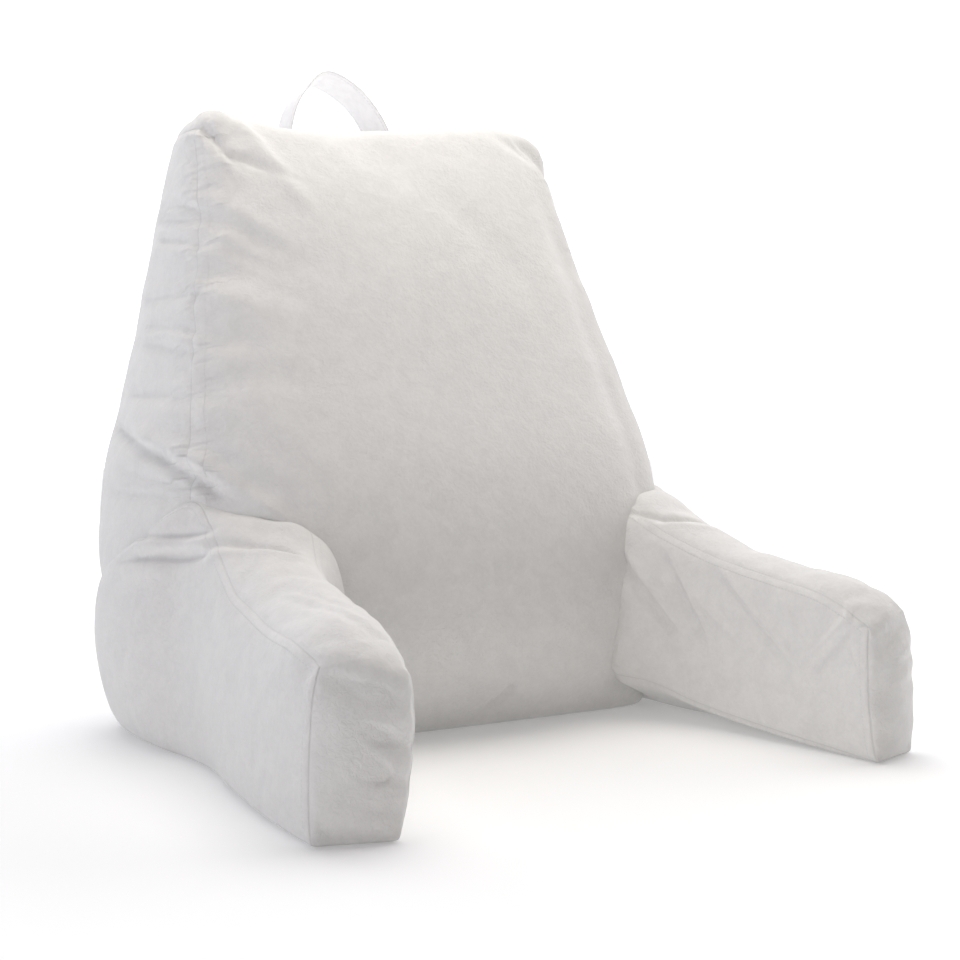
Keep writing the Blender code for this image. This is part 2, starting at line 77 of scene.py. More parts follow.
# Each fold is a soft trough from one end to the other, or a ridge where its depth is negative.
FOLD_COLUMNS = ("x1", "y1", "z1", "x2", "y2", "z2", "half_width", "depth")
CUSHION_FOLDS = (
    (-0.150, 0.068, 0.509, -0.165, 0.002, 0.491, 0.004, 0.003),    # tuck round the top left corner
    (-0.165, 0.002, 0.491, -0.154, -0.013, 0.472, 0.004, 0.005),
    (-0.154, -0.013, 0.472, -0.133, -0.021, 0.464, 0.005, 0.004),
    (-0.133, -0.021, 0.464, -0.115, -0.028, 0.456, 0.006, 0.002),
    (-0.159, 0.021, 0.509, -0.131, -0.006, 0.489, 0.009, -0.003),  # the lip above that tuck
    (-0.131, -0.006, 0.489, -0.108, -0.034, 0.448, 0.009, -0.003),
    (-0.169, 0.003, 0.482, -0.154, -0.018, 0.462, 0.005, -0.002),  # and the lip below it
    (0.146, -0.002, 0.505, 0.163, 0.000, 0.488, 0.008, 0.005),     # pucker at the top right corner
    (0.128, 0.000, 0.503, 0.140, -0.004, 0.497, 0.007, 0.003),
    (-0.1745, -0.014, 0.430, -0.149, -0.046, 0.4135, 0.009, -0.002),  # drags from the left front seam
    (-0.177, -0.015, 0.419, -0.149, -0.046, 0.401, 0.009, 0.005),
    (-0.181, -0.027, 0.399, -0.137, -0.068, 0.374, 0.010, 0.002),
    (-0.184, -0.034, 0.376, -0.133, -0.077, 0.358, 0.010, 0.002),
    (-0.190, -0.041, 0.356, -0.168, -0.071, 0.347, 0.010, -0.002),
    (-0.195, -0.053, 0.326, -0.174, -0.083, 0.317, 0.010, 0.002),
    (-0.183, 0.059, 0.431, -0.181, -0.002, 0.428, 0.005, 0.0035),   # gathers on the left side
    (-0.1845, 0.063, 0.4225, -0.1825, -0.002, 0.417, 0.005, 0.0035),
    (-0.184, 0.040, 0.4275, -0.182, -0.002, 0.4225, 0.004, -0.002),
    (-0.190, 0.041, 0.405, -0.1875, -0.021, 0.397, 0.005, 0.0035),
    (-0.191, 0.045, 0.398, -0.190, 0.010, 0.391, 0.004, -0.002),
    (-0.198, 0.051, 0.3555, -0.1945, -0.032, 0.3535, 0.005, 0.0035),
    (-0.201, 0.055, 0.372, -0.196, 0.000, 0.370, 0.005, 0.002),
    (-0.204, 0.028, 0.331, -0.200, -0.045, 0.326, 0.005, 0.003),
    (-0.208, 0.028, 0.317, -0.204, -0.045, 0.310, 0.005, 0.003),
    (-0.206, 0.030, 0.3245, -0.202, -0.045, 0.318, 0.005, -0.0015),
    (-0.219, 0.030, 0.2755, -0.215, -0.051, 0.272, 0.004, 0.003),
    (-0.223, 0.058, 0.246, -0.230, -0.041, 0.229, 0.005, 0.007),   # long fold over the left arm
    (-0.230, -0.041, 0.229, -0.213, -0.097, 0.210, 0.005, 0.008),
    (-0.213, -0.097, 0.210, -0.208, -0.112, 0.202, 0.004, 0.004),
    (-0.227, -0.019, 0.240, -0.212, -0.090, 0.223, 0.007, -0.004),
    (-0.212, -0.090, 0.223, -0.197, -0.127, 0.206, 0.007, -0.006),
    (-0.197, -0.127, 0.206, -0.177, -0.145, 0.189, 0.006, -0.004),
    (-0.240, 0.000, 0.212, -0.226, -0.080, 0.206, 0.005, 0.003),   # and the wrinkles under it
    (-0.242, 0.010, 0.198, -0.231, -0.066, 0.196, 0.005, 0.003),
    (-0.027, -0.002, 0.494, 0.075, -0.066, 0.400, 0.022, 0.002),   # broad drags down the front
    (0.150, -0.049, 0.405, 0.171, -0.141, 0.201, 0.012, 0.002),
    (0.015, -0.127, 0.011, 0.033, -0.145, 0.033, 0.004, 0.005),    # crease at the foot of the front
)
FOLD_CLEAR_HEIGHT = 0.030    # folds fade out below this height, so that the base stays flat
FOLD_LIFT = 0.4              # how much of a fold line's distance above or below the surface counts
FOLD_TAPER = 3.0             # a fold runs out past its ends over this many half widths
SEAM_CROWDING = 0.82         # the nearer to 1, the closer the grid lines stand near the seams
CROWN_POWER = 0.6            # how square a stuffed panel is: lower rises faster from its seams
SETTLING_FRAMES = 20         # the covers settle over this many frames
SETTLING_START = 0.0002      # and start from points this far out of place, so that they buckle unevenly
GATHERS_SMOOTHED = 12        # how often the simulated move is averaged to find its broad part
GATHERS_MOST = 0.003         # the gathers move a point no further than this
SAME_PLACE = 1e-4            # two places on the box that differ by less are the same
SEAM_DEPTH = 0.0006          # how far a seam pulls its cloth in
SEAM_HALF_WIDTH = 0.0026
SEAM_REACH = 0.05            # distances from a seam are kept up to here
SEAM_CLEAR_HEIGHT = 0.012    # seams fade out below this height, so that the base stays flat
JOIN_DEPTH = 0.0020          # how far an arm is drawn in where it meets the cushion
JOIN_HALF_WIDTH = 0.0045


def smooth_table(rows, columns, name, at):
    """One column of a table read at any place along its first column.

    A cubic runs through each pair of neighbouring rows, with the slope at a row taken from the rows on
    both sides of it. Past the ends the end rows' values hold.
    """
    table = np.array(rows)
    place = table[:, 0]
    value = table[:, columns.index(name)]
    slope = np.gradient(value, place)
    at = np.clip(at, place[0], place[-1])
    low = np.clip(np.searchsorted(place, at, side="right") - 1, 0, len(place) - 2)
    span = place[low + 1] - place[low]
    u = (at - place[low]) / span
    return (
        (2 * u**3 - 3 * u**2 + 1) * value[low]
        + (u**3 - 2 * u**2 + u) * span * slope[low]
        + (3 * u**2 - 2 * u**3) * value[low + 1]
        + (u**3 - u**2) * span * slope[low + 1]
    )


def swell(a, power):
    """The rise of a stuffed panel across its width: 1 in the middle, 0 at the seams at a = -1 and 1."""
    return np.clip(1.0 - a**2, 0.0, None) ** power


def crowd_to_seams(a):
    """Moves evenly spaced grid lines towards the seams at -1 and 1: a becomes sin(a r) / sin(r), where
    r is a share of a right angle."""
    reach = SEAM_CROWDING * np.pi / 2
    return np.sin(a * reach) / np.sin(reach)


def box_skin(cells):
    """The skin of a box from -1 to 1 on each axis as one closed net of four-cornered faces.

    On each of the six sides the corners of cell (i, j) are (i, j), (i + 1, j), (i + 1, j + 1) and
    (i, j + 1); points that two sides share are made one. Returns the places and the faces.
    """
    rings = []
    for axis in range(3):
        first, second = [a for a in range(3) if a != axis]
        i, j = np.meshgrid(np.arange(cells[first]), np.arange(cells[second]), indexing="ij")
        for end in (0, cells[axis]):
            ring = np.empty(i.shape + (4, 3), int)
            ring[..., axis] = end
            ring[..., first] = i[..., None] + np.array((0, 1, 1, 0))
            ring[..., second] = j[..., None] + np.array((0, 0, 1, 1))
            faces_out = (end > 0) == (axis != 1)
            rings.append((ring if faces_out else ring[:, :, ::-1]).reshape(-1, 4, 3))
    corners = np.concatenate(rings)
    size = np.array(cells) + 1
    codes, index = np.unique((corners[..., 0] * size[1] + corners[..., 1]) * size[2] + corners[..., 2],
                             return_inverse=True)
    whole = np.column_stack((codes // (size[1] * size[2]), codes // size[2] % size[1], codes % size[2]))
    return 2.0 * whole / np.array(cells) - 1.0, index.reshape(-1, 4)


def cushion_surface(place):
    """The back cushion's surface, from its place (across, depth, up) on the box.

    A point between the seams lies on the straight line from the front seam to the rear seam and from
    the left seam to the right one. The panel that it is on then swells out by its crown, and the crown
    fades to nothing at the panel's seams, as (1 - a^2) ^ power does.
    """
    across, depth, up = crowd_to_seams(place).T
    lowest = CUSHION_ROWS[0][0]
    highest = CUSHION_ROWS[-1][0]
    z = lowest + (highest - lowest) * (up + 1) / 2
    rise = smooth_table(TOP_ROWS, TOP_COLUMNS, "rise", across)

    def row(name):
        return smooth_table(CUSHION_ROWS, CUSHION_COLUMNS, name, z)

    back_share = (depth + 1) / 2
    half_width = row("front_half_width") * (1 - back_share) + row("back_half_width") * back_share
    x = across * half_width
    y = row("front_y") * (1 - back_share) + row("back_y") * back_share
    in_width = swell(across, CROWN_POWER)
    in_depth = swell(depth, CROWN_POWER)
    front = np.clip(-depth, 0, 1) ** CUSHION_FACE_POWER
    back = np.clip(depth, 0, 1) ** CUSHION_FACE_POWER
    side = np.abs(across) ** CUSHION_FACE_POWER
    top = np.clip(up, 0, 1) ** CUSHION_FACE_POWER
    bottom = np.clip(-up, 0, 1) ** CUSHION_FACE_POWER
    y = y - row("front_crown") * front * swell(across, FRONT_CROWN_POWER)
    y = y + row("back_crown") * back * in_width
    x = x + np.sign(across) * row("side_crown") * side * in_depth
    z = z + rise * np.clip(up, 0, 1) ** 4 + TOP_CROWN * top * swell(across, TOP_CROWN_POWER) * in_depth
    # The base lies flat on the floor but for its rounded rim.
    z = z - lowest * bottom * np.clip(6 * np.minimum(in_width, in_depth) - 0.6, 0, 1)
    return np.column_stack((x, y, z))


def add_piece(name, place, points, faces):
    """A piece from whole arrays, with each point's place on its box kept as the attribute "place"."""
    mesh = bpy.data.meshes.new(name)
    mesh.from_pydata(points, [], faces)
    kept = mesh.attributes.new("place", "FLOAT_VECTOR", "POINT")
    kept.data.foreach_set("vector", place.ravel())
    mesh.shade_smooth()
    piece = bpy.data.objects.new(name, mesh)
    bpy.context.scene.collection.objects.link(piece)
    return piece


def read_rows(data, name):
    """One vector for each point of a mesh, as rows of three numbers."""
    flat = np.empty(len(data) * 3)
    data.foreach_get(name, flat)
    return flat.reshape(-1, 3)


def read_points(mesh):
    """A mesh's points."""
    return read_rows(mesh.vertices, "co")


def read_normals(mesh):
    """The normal at each point."""
    return read_rows(mesh.vertices, "normal")


def read_places(mesh):
    """Each point's place on its box, from -1 to 1 on each axis."""
    return read_rows(mesh.attributes["place"].data, "vector")


def write_points(mesh, points):
    """Sets a mesh's points."""
    mesh.vertices.foreach_set("co", points.ravel())
    mesh.update()


def neighbour_mean(mesh, values):
    """The mean of each point's neighbours' values, by sums over the mesh's edges."""
    ends = np.empty(len(mesh.edges) * 2, int)
    mesh.edges.foreach_get("vertices", ends)
    a, b = ends.reshape(-1, 2).T
    total = np.zeros_like(values)
    np.add.at(total, a, values[b])
    np.add.at(total, b, values[a])
    return total / np.bincount(ends, minlength=len(values))[:, None]


def soften(mesh, share, times):
    """Rounds a mesh where share is above 0: each time, a point moves that share of the way to its
    neighbours' mean."""
    points = read_points(mesh)
    for _ in range(times):
        points = points + share[:, None] * (neighbour_mean(mesh, points) - points)
    write_points(mesh, points)


def press_folds(mesh, folds):
    """Presses a table of folds into a mesh.

    Each point moves in along its normal by the fold's depth times exp(-(distance / half width)^2). The
    distance is that from the straight line between the fold's two ends. Off the surface it counts only
    in part, so that the line may lie a little above or below it, and past an end it counts less, so
    that the fold runs out softly. Where folds meet, the deepest trough and the highest ridge count.
    """
    points = read_points(mesh)
    normals = read_normals(mesh)
    trough = np.zeros(len(points))
    ridge = np.zeros(len(points))
    for fold in folds:
        start = np.array(fold[0:3])
        run = np.array(fold[3:6]) - start
        share = np.clip((points - start) @ run / (run @ run), 0, 1)
        length = np.linalg.norm(run)
        away = points - start - share[:, None] * run
        past_end = away @ run / length
        off_surface = np.sum(away * normals, axis=1)
        across = np.sum(away**2, axis=1) - past_end**2 - (1 - FOLD_LIFT**2) * off_surface**2
        half_width = fold[FOLD_COLUMNS.index("half_width")]
        far = np.clip(across, 0, None) / half_width**2 + (past_end / (FOLD_TAPER * half_width)) ** 2
        pressed = fold[FOLD_COLUMNS.index("depth")] * np.exp(-far)
        trough = np.maximum(trough, pressed)
        ridge = np.minimum(ridge, pressed)
    depth = (trough + ridge) * np.clip(points[:, 2] / FOLD_CLEAR_HEIGHT, 0, 1)
    write_points(mesh, points - depth[:, None] * normals)


def split_once(piece):
    """Splits each face in four, with the net rounded between its points."""
    finer = piece.modifiers.new("finer", "SUBSURF")
    finer.levels = 1
    finer.render_levels = 1
    made = bpy.data.meshes.new_from_object(piece.evaluated_get(bpy.context.evaluated_depsgraph_get()))
    made.name = piece.name
    piece.modifiers.clear()
    piece.data = made
    made.shade_smooth()


def seam_points(mesh, ends):
    """The points of one seam in order along it: those whose place is at the given end (-1 or 1) of each
    of two axes, as in {0: -1, 1: -1}, sorted by the third."""
    places = read_places(mesh)
    on_seam = np.all([np.abs(places[:, axis] - end) < SAME_PLACE for axis, end in ends.items()], axis=0)
    running = ({0, 1, 2} - set(ends)).pop()
    return read_points(mesh)[on_seam][np.argsort(places[on_seam, running])]


def nearest_on_line(points, line):
    """Each point's distance to a line of straight stretches, and how far along the line that is."""
    nearest = np.full(len(points), np.inf)
    run = np.zeros(len(points))
    gone = 0.0
    for start, end in zip(line[:-1], line[1:]):
        step = end - start
        length = np.linalg.norm(step)
        share = np.clip((points - start) @ step / length**2, 0, 1)
        distance = np.linalg.norm(points - start - share[:, None] * step, axis=1)
        closer = distance < nearest
        nearest[closer] = distance[closer]
        run[closer] = gone + share[closer] * length
        gone += length
    return nearest, run


def keep_on_points(mesh, name, values):
    """Keeps one number for each point under a name that a material can read."""
    mesh.attributes.new(name, "FLOAT", "POINT").data.foreach_set("value", values)


def sew(mesh, plain, felled=(), gathered=(), joined=None):
    """Draws the seams in. Every seam pulls its cloth in by a rounded groove: depth times
    exp(-(distance / half width)^2).

    Plain, felled and gathered are tables of seams, and joined is each point's distance from a piece
    that this one is sewn to, where its groove is deeper. The distances from the nearest plain, felled
    and gathered seams, and the runs along the last two, are kept for the material. A felled seam's
    distance is above 0 on the two side panels, which its allowance is pressed under.
    """
    points = read_points(mesh)
    normals = read_normals(mesh)

    def nearest_seam(seams):
        """The distance from the nearest of these seams and the run along it."""
        nearest = np.full(len(points), SEAM_REACH)
        nearest_run = np.zeros(len(points))
        for ends in seams:
            distance, run = nearest_on_line(points, seam_points(mesh, ends))
            closer = distance < nearest
            nearest[closer] = distance[closer]
            nearest_run[closer] = run[closer]
        return nearest, nearest_run

    plain_distance, _ = nearest_seam(plain)
    # The join with the cushion counts as a plain seam, so the material darkens it too: painted shade where
    # the arm meets the cushion.
    if joined is not None:
        plain_distance = np.minimum(plain_distance, joined)
    gather_distance, gather_run = nearest_seam(gathered)
    felled_distance, felled_run = nearest_seam(felled)
    drawn_in = SEAM_DEPTH * np.exp(-((np.minimum(plain_distance, felled_distance) / SEAM_HALF_WIDTH) ** 2))
    if joined is not None:
        drawn_in = np.maximum(drawn_in, JOIN_DEPTH * np.exp(-((joined / JOIN_HALF_WIDTH) ** 2)))
    drawn_in *= np.clip(points[:, 2] / SEAM_CLEAR_HEIGHT, 0, 1)
    write_points(mesh, points - drawn_in[:, None] * normals)
    on_side = np.abs(read_places(mesh)[:, 0]) > 1 - SAME_PLACE
    keep_on_points(mesh, "plain_seam", plain_distance)
    keep_on_points(mesh, "gather_seam", gather_distance)
    keep_on_points(mesh, "gather_run", gather_run)
    keep_on_points(mesh, "felled_seam", np.where(on_side, felled_distance, -felled_distance))
    keep_on_points(mesh, "felled_run", felled_run)


def crumple(piece, pinned, extra, share, seed):
    """Lets the cover settle as cloth over its filling, held at its seams and cut a little too big, so
    that it gathers there as sewn cloth does.

    The broad part of each point's move is taken off again, so that the cover keeps its form. Of what
    is left, the gathers, each point keeps its share, up to a few millimetres.
    """
    held = piece.vertex_groups.new(name="seams")
    held.add([int(i) for i in np.flatnonzero(pinned)], 1.0, "REPLACE")
    mesh = piece.data
    start = read_points(mesh)
    out_of_place = np.random.default_rng(seed).normal(0, SETTLING_START, start.shape)
    write_points(mesh, start + out_of_place * ~pinned[:, None])
    cloth = piece.modifiers.new("cloth", "CLOTH")
    cloth.settings.quality = 5
    cloth.settings.mass = 0.3
    cloth.settings.tension_stiffness = 20
    cloth.settings.compression_stiffness = 20
    cloth.settings.shear_stiffness = 8
    cloth.settings.bending_stiffness = 0.15
    cloth.settings.use_pressure = True
    cloth.settings.uniform_pressure_force = 3.0
    cloth.settings.shrink_min = -extra
    cloth.settings.vertex_group_mass = "seams"
    cloth.settings.effector_weights.gravity = 0
    cloth.collision_settings.use_collision = False
    for at_frame in range(1, SETTLING_FRAMES + 1):
        bpy.context.scene.frame_set(at_frame)
        bpy.context.evaluated_depsgraph_get()
    settled = read_points(piece.evaluated_get(bpy.context.evaluated_depsgraph_get()).data)
    piece.modifiers.clear()
    bpy.context.scene.frame_set(1)
    move = settled - start
    broad = move
    for _ in range(GATHERS_SMOOTHED):
        broad = neighbour_mean(mesh, broad)
    fine = move - broad
    size = np.linalg.norm(fine, axis=1)[:, None] + 1e-9
    write_points(mesh, start + fine * share[:, None] * np.minimum(1, GATHERS_MOST / size))


place, faces = box_skin(CUSHION_CELLS)
cushion = add_piece("back_cushion_cover", place, cushion_surface(place), faces)
across, depth, up = place.T
# The front runs over the top without a seam, and its upper corners are round.
unsewn = np.clip(1 - 4 * (1 - up), 0, 1) * np.clip(4 * (1 - np.abs(across)), 0, 1)
soften(cushion.data, 0.5 * unsewn, times=40)
front_corner = np.clip(1 - 4 * (1 - np.abs(across)), 0, 1) * np.clip(1 - 2.5 * (depth + 1), 0, 1)
soften(cushion.data, 0.5 * front_corner, times=14)
soften(cushion.data, 0.5 * (up > -0.9), times=4)
# The cover is held at the seams down its sides and across its back, and all over its base. It gathers
# most beside the left front seam.
front_seam = 2 * FRONT_SEAM_SET_BACK / CUSHION_CELLS[1] - 1
at_side = np.abs(across) > 1 - SAME_PLACE
at_front_seam = np.abs(depth - front_seam) < SAME_PLACE
at_back = depth > 1 - SAME_PLACE
at_top = up > 1 - SAME_PLACE
pinned = at_side & (at_front_seam | at_back | at_top) | at_back & at_top | (up < -1 + SAME_PLACE)
gathered = 0.2 + 0.8 * np.clip(1 - 1.5 * (across + 1), 0, 1) * np.clip(1 - 1.2 * (depth + 1), 0, 1)
crumple(cushion, pinned, extra=CUSHION_EXTRA, share=gathered, seed=CUSHION_SEED)
split_once(cushion)
# The front wraps round its upright corners without a crease.
across, depth, _ = read_places(cushion.data).T
wrapped = np.clip(1 - 12 * (1 - np.abs(across)), 0, 1) * np.clip(1 - 12 * (depth + 1), 0, 1)
soften(cushion.data, 0.5 * wrapped, times=8)
press_folds(cushion.data, CUSHION_FOLDS)
sew(cushion.data, plain=({0: -1, 1: front_seam}, {0: 1, 1: front_seam}, {0: -1, 1: 1}, {0: 1, 1: 1},
                         {0: -1, 2: 1}, {0: 1, 2: 1}, {1: 1, 2: 1}, {1: -1, 2: -1}, {1: 1, 2: -1}),
    gathered=({0: -1, 1: front_seam}, {0: 1, 1: front_seam}))


def linear(hex_colour):
    """An sRGB hex colour as the linear values that a shader takes: ((c + 0.055) / 1.055) ^ 2.4, or
    c / 12.92 where c is under 0.04045."""
    value = np.array([int(hex_colour[i:i + 2], 16) for i in (1, 3, 5)]) / 255
    return (*np.where(value > 0.04045, ((value + 0.055) / 1.055) ** 2.4, value / 12.92), 1.0)


def add_node(tree, kind, settings, *values, output=0, **named):
    """Adds a node with its settings, fills its sockets in order or by name, and gives one of its outputs.
    A socket takes a number, a colour or another node's output. Its name is written with underscores for
    spaces, or as its number after an underscore."""
    node = tree.nodes.new(kind)
    for name, value in settings.items():
        setattr(node, name, value)
    filled = [(node.inputs[place], value) for place, value in enumerate(values)]
    for name, value in named.items():
        filled.append((node.inputs[int(name[1:]) if name[1:].isdigit() else name.replace("_", " ")], value))
    for socket, value in filled:
        if isinstance(value, bpy.types.NodeSocket):
            tree.links.new(value, socket)
        else:
            socket.default_value = value
    return node.outputs[output]


MATH = "ShaderNodeMath"
NOISE = "ShaderNodeTexNoise"
ATTRIBUTE = "ShaderNodeAttribute"
RANGE = "ShaderNodeMapRange"
SOFT = {"interpolation_type": "SMOOTHSTEP"}
TIMES = {"operation": "MULTIPLY"}
TIMES_PLUS = {"operation": "MULTIPLY_ADD"}
LARGER = {"operation": "MAXIMUM"}
SIZE_OF = {"operation": "ABSOLUTE"}
SINE = {"operation": "SINE"}
MINUS = {"operation": "SUBTRACT"}
PLUSH_STITCH = 0.0032        # one stitch and its gap along a topstitched seam
PLUSH_STITCH_FROM_SEAM = 0.0066
CRINKLE_DEPTH = (0.0004, 0.0007)  # in the smoother and in the rougher patches
STREAK_DEPTH = 0.0007
GATHER_DEPTH = 0.0075        # of the noise's whole range, of which the gathers fill about a third
GATHER_FADE = (0.004, 0.045)  # full up to the first distance from the seam, and gone at the second
GATHER_STRETCH = 0.22        # they run away from the seam: their pattern is drawn out by 1 / this
BAND_RISE = (0.0002, 0.0014)  # a felled seam's allowance lifts the panel over it between these distances
BAND_FALL = (0.0058, 0.0074)
BAND_RAISED = 0.0003
PLAIN_LINE = 0.0011          # half widths of the lines
FELLED_LINE = 0.0010
STITCH_LINE = 0.0009
LINE_DEPTH = 0.0003          # a seam's line and its stitches are sunk by this much


def plush_material(name, colour, shade):
    """Short-pile polyester plush: a matt, fuzzy face that catches light at its rim. The pile lies in
    small crinkles about 3 mm across, stronger in some places, and is brushed in slanting streaks. Along
    the gathered seams it puckers every 13 mm or so. A plain seam shows as a fine dark line, painted
    shade in its groove. A felled seam shows as that line and, 7 mm from it across a raised band, a row
    of stitches darkened by painted shade in their dimples."""
    made = bpy.data.materials.new(name)
    made.use_nodes = True
    tree = made.node_tree
    shader = tree.nodes["Principled BSDF"]
    shader.inputs["Roughness"].default_value = 0.95
    shader.inputs["Sheen Weight"].default_value = 0.25
    shader.inputs["Sheen Roughness"].default_value = 0.5
    where = add_node(tree, "ShaderNodeTexCoord", {}, output="Object")
    slanted = add_node(tree, "ShaderNodeMapping", {"vector_type": "TEXTURE"}, Vector=where,
                       Rotation=(0.6, -0.87, 0.0), Scale=(1.0, 1.0, 2.2))
    plain = add_node(tree, ATTRIBUTE, {"attribute_name": "plain_seam"}, output="Fac")
    felled = add_node(tree, ATTRIBUTE, {"attribute_name": "felled_seam"}, output="Fac")
    felled_run = add_node(tree, ATTRIBUTE, {"attribute_name": "felled_run"}, output="Fac")
    gather = add_node(tree, ATTRIBUTE, {"attribute_name": "gather_seam"}, output="Fac")
    gather_run = add_node(tree, ATTRIBUTE, {"attribute_name": "gather_run"}, output="Fac")

    crinkle = add_node(tree, NOISE, {}, Vector=where, Scale=290.0, Detail=2.0, Roughness=0.55,
                       Distortion=0.8)
    patches = add_node(tree, NOISE, {}, Vector=slanted, Scale=14.0, Detail=1.0)
    brushed = add_node(tree, NOISE, {}, Vector=slanted, Scale=70.0, Detail=3.0, Roughness=0.6,
                       Distortion=0.5)
    off_seam = add_node(tree, MATH, TIMES, gather, GATHER_STRETCH)
    along_seam = add_node(tree, "ShaderNodeCombineXYZ", {}, gather_run, off_seam)
    gathers = add_node(tree, NOISE, {}, Vector=along_seam, Scale=75.0, Detail=2.0, Distortion=0.3)
    near_seam = add_node(tree, RANGE, SOFT, gather, *GATHER_FADE, 1.0, 0.0)
    gathers = add_node(tree, MATH, TIMES, gathers, near_seam)

    band_start = add_node(tree, RANGE, SOFT, felled, *BAND_RISE, 0.0, 1.0)
    band_end = add_node(tree, RANGE, SOFT, felled, *BAND_FALL, 1.0, 0.0)
    band = add_node(tree, MATH, TIMES, band_start, band_end)
    plain_line = add_node(tree, RANGE, SOFT, plain, 0.0, PLAIN_LINE, 0.6, 0.0)
    from_felled = add_node(tree, MATH, SIZE_OF, felled)
    felled_line = add_node(tree, RANGE, SOFT, from_felled, 0.0, FELLED_LINE, 0.5, 0.0)
    dashes = add_node(tree, MATH, SINE, add_node(tree, MATH, TIMES, felled_run, 2 * np.pi / PLUSH_STITCH))
    from_row = add_node(tree, MATH, MINUS, felled, PLUSH_STITCH_FROM_SEAM)
    from_row = add_node(tree, MATH, SIZE_OF, from_row)
    row = add_node(tree, RANGE, SOFT, from_row, 0.0, STITCH_LINE, 0.5, 0.0)
    stitches = add_node(tree, MATH, TIMES, row, add_node(tree, RANGE, SOFT, dashes, -0.9, 0.2, 0.3, 1.0))
    lines = add_node(tree, MATH, LARGER, plain_line, felled_line)
    lines = add_node(tree, MATH, LARGER, lines, stitches)

    crinkle_depth = add_node(tree, RANGE, SOFT, patches, 0.35, 0.7, *CRINKLE_DEPTH)
    height = add_node(tree, MATH, TIMES, crinkle, crinkle_depth)
    height = add_node(tree, MATH, TIMES_PLUS, brushed, STREAK_DEPTH, height)
    height = add_node(tree, MATH, TIMES_PLUS, gathers, GATHER_DEPTH, height)
    height = add_node(tree, MATH, TIMES_PLUS, band, BAND_RAISED, height)
    height = add_node(tree, MATH, TIMES_PLUS, lines, -LINE_DEPTH, height)
    bump = add_node(tree, "ShaderNodeBump", {}, Strength=1.0, Distance=1.0, Height=height)
    tree.links.new(bump, shader.inputs["Normal"])

    brushed_tone = add_node(tree, RANGE, SOFT, brushed, 0.3, 0.7, 0.20, 0.0)
    crinkle_tone = add_node(tree, RANGE, SOFT, crinkle, 0.3, 0.7, 0.15, 0.0)
    tone = add_node(tree, MATH, {"operation": "ADD"}, brushed_tone, crinkle_tone)
    # The seam lines and stitch rows are darkened as well as sunk: painted shade in their grooves and
    # dimples, and along the join where an arm meets the cushion.
    tone = add_node(tree, MATH, LARGER, tone, lines)
    mixed = add_node(tree, "ShaderNodeMix", {"data_type": "RGBA"}, tone, output=2,
                     _6=linear(colour), _7=linear(shade))
    tree.links.new(mixed, shader.inputs["Base Color"])
    return made


plush = plush_material("white_plush", "#ebeae8", "#d2d1d1")
cushion.data.materials.append(plush)
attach(cushion, "root")
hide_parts("back_cushion")

# ---- Arm covers -----------------------------------------------------------------------------------
# Two stuffed arms of the same plush. The inner and outer panels have a boxing strip between them that
# runs over the top and down the end; the strip's seams are pressed outwards and topstitched.
ARM_COLUMNS = (
    "y", "inner_top_x", "inner_foot_x", "outer_top_x", "outer_foot_x",
    "inner_top", "outer_top", "inner_lift", "inner_crown", "outer_crown", "top_crown",
)
ARM_ROWS = (
    (-0.375, 0.194, 0.203, 0.248, 0.253, 0.102, 0.113, 0.000, 0.008, 0.006, 0.008),
    (-0.340, 0.188, 0.198, 0.247, 0.252, 0.121, 0.122, 0.004, 0.008, 0.008, 0.011),
    (-0.290, 0.181, 0.190, 0.240, 0.248, 0.132, 0.126, 0.009, 0.009, 0.011, 0.012),
    (-0.240, 0.174, 0.182, 0.233, 0.241, 0.142, 0.136, 0.015, 0.010, 0.013, 0.012),
    (-0.200, 0.166, 0.174, 0.229, 0.235, 0.155, 0.149, 0.022, 0.014, 0.013, 0.012),
    (-0.170, 0.156, 0.160, 0.224, 0.229, 0.170, 0.164, 0.033, 0.020, 0.013, 0.008),
    (-0.145, 0.150, 0.145, 0.220, 0.227, 0.186, 0.178, 0.036, 0.022, 0.014, 0.008),
    (-0.120, 0.150, 0.145, 0.217, 0.227, 0.193, 0.190, 0.036, 0.020, 0.015, 0.010),
    (-0.100, 0.150, 0.145, 0.215, 0.228, 0.198, 0.202, 0.036, 0.018, 0.015, 0.008),
)
# Behind the root the outer panel runs on round the cushion's side and narrows to a point at the back.
FLANK_COLUMNS = ("y", "proud", "top", "foot_x", "lift", "crown")
FLANK_ROWS = (
    (-0.100, 0.000, 0.202, 0.228, 0.036, 0.017),
    (-0.075, 0.001, 0.184, 0.232, 0.022, 0.018),
    (-0.042, 0.001, 0.164, 0.234, 0.014, 0.018),
    (0.000, 0.001, 0.145, 0.234, 0.008, 0.018),
    (0.031, 0.001, 0.124, 0.230, 0.008, 0.017),
    (0.065, 0.001, 0.094, 0.219, 0.008, 0.013),
    (0.090, -0.004, 0.066, 0.205, 0.008, 0.007),
    (0.102, -0.010, 0.050, 0.193, 0.008, 0.000),
)
FLANK_TOE_IN = 0.018         # its back end leans forwards towards the floor by this much
FLANK_INNER_X = 0.150        # the flank's hidden edge, well inside the cushion
ARM_END_CROWN = 0.010        # how far the end panel swells past its seams
ARM_END_SKEW = 0.016         # the end panel turns outwards: its inner edge stands this much further out
ARM_RIM = 0.005              # the underside's rim stands this far off the floor before it settles
ARM_SETTLE = 0.004           # the arm's own weight presses this much of the underside flat
ARM_CELLS = (14, 66, 22)     # grid cells across, along, and up
ARM_CELL_CROWDING = 1.15     # above 1, they stand closer together towards the free end
ARM_STATION_CROWDING = 1.1   # and so do the stations along y
ARM_FACE_POWER = 4           # the higher, the less a panel's swell reaches round onto its neighbours
ARM_END_POWER = 12
ARM_SIDE_CROWN_POWER = 0.5   # how square the side panels are up their height: lower rises faster
ARM_EXTRA = 0.025            # its cover is cut this much too big
ARM_SEED = 5
